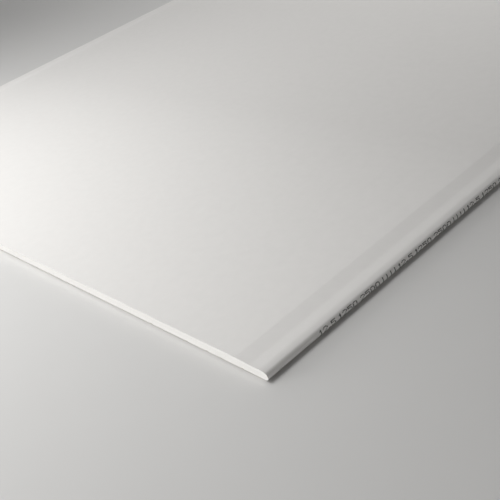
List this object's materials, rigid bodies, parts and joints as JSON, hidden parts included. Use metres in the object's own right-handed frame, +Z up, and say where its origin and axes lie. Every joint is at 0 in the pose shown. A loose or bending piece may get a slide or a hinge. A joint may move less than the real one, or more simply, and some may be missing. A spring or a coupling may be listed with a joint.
{
  "type": "drywall sheet",
  "caption": "Flat plasterboard sheet: gypsum core between face and back paper, tapered half-round long edges, square cut ends.",
  "frame": {"origin": "middle of the underside, on the surface the sheet lies on", "axes": "+X across the width, +Y along the length, +Z up through the thickness, out of the face side"},
  "size_m": [1.25, 2.5, 0.0125],
  "materials": {
    "gypsum": "matte, chalky cut surface of foamed gypsum plaster",
    "face_paper": "smooth matte pale ivory-grey liner paper",
    "back_paper": "matte recycled grey-brown liner paper"
  },
  "bodies": {
    "root": {"gypsum_core": "gypsum", "face_paper": "face_paper", "back_paper": "back_paper"}
  },
  "joints": []
}
